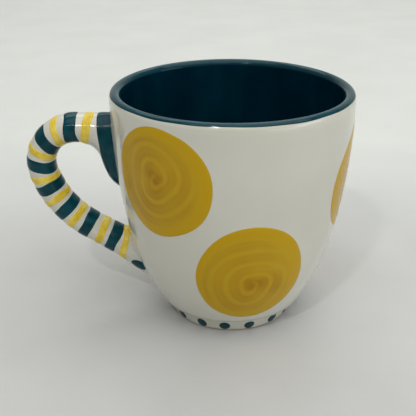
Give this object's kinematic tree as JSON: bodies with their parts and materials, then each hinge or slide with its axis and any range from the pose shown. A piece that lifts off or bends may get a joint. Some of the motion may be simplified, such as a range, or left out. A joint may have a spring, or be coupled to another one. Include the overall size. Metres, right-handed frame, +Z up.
{
  "type": "stoneware mug",
  "caption": "Round-bellied stoneware mug with a flared lip, a pulled loop handle and a foot ring, painted with large yellow spots, teal and yellow handle bands and teal foot dots.",
  "frame": {"origin": "centre of the foot ring's underside, on the cup's axis, where the mug stands", "axes": "+Z up the cup's axis to the lip; the handle points to -X; -Y faces the side with the two whole spots"},
  "size_m": [0.1372, 0.1004, 0.1],
  "materials": {
    "stoneware": "bare fired buff stoneware",
    "white_glaze": "glossy warm white glaze",
    "liner_glaze": "glossy dark teal glaze",
    "teal_glaze": "glossy brushed teal glaze",
    "yellow_glaze": "glossy brushed mustard-yellow glaze with spiral strokes"
  },
  "bodies": {
    "root": {"base_glaze": "white_glaze", "foot_dot_01": "teal_glaze", "foot_dot_02": "teal_glaze", "foot_dot_03": "teal_glaze", "foot_dot_04": "teal_glaze", "foot_dot_05": "teal_glaze", "foot_dot_06": "teal_glaze", "foot_dot_07": "teal_glaze", "foot_dot_08": "teal_glaze", "foot_dot_09": "teal_glaze", "foot_dot_10": "teal_glaze", "foot_dot_11": "teal_glaze", "foot_dot_12": "teal_glaze", "foot_dot_13": "teal_glaze", "foot_dot_14": "teal_glaze", "foot_dot_15": "teal_glaze", "foot_dot_16": "teal_glaze", "handle_core": "stoneware", "handle_glaze": "white_glaze", "liner_glaze": "liner_glaze", "lower_joint_dab": "teal_glaze", "lower_slip_joint": "stoneware", "outer_glaze": "white_glaze", "stoneware_body": "stoneware", "teal_band_1": "teal_glaze", "teal_band_2": "teal_glaze", "teal_band_3": "teal_glaze", "teal_band_4": "teal_glaze", "teal_band_5": "teal_glaze", "teal_band_6": "teal_glaze", "teal_band_7": "teal_glaze", "upper_joint_teal": "teal_glaze", "upper_slip_joint": "stoneware", "yellow_band_1": "yellow_glaze", "yellow_band_2": "yellow_glaze", "yellow_band_3": "yellow_glaze", "yellow_band_4": "yellow_glaze", "yellow_band_5": "yellow_glaze", "yellow_band_6": "yellow_glaze", "yellow_band_7": "yellow_glaze", "yellow_band_8": "yellow_glaze", "yellow_spot_1": "yellow_glaze", "yellow_spot_2": "yellow_glaze", "yellow_spot_3": "yellow_glaze", "yellow_spot_4": "yellow_glaze", "yellow_spot_5": "yellow_glaze", "yellow_spot_6": "yellow_glaze"}
  },
  "joints": []
}
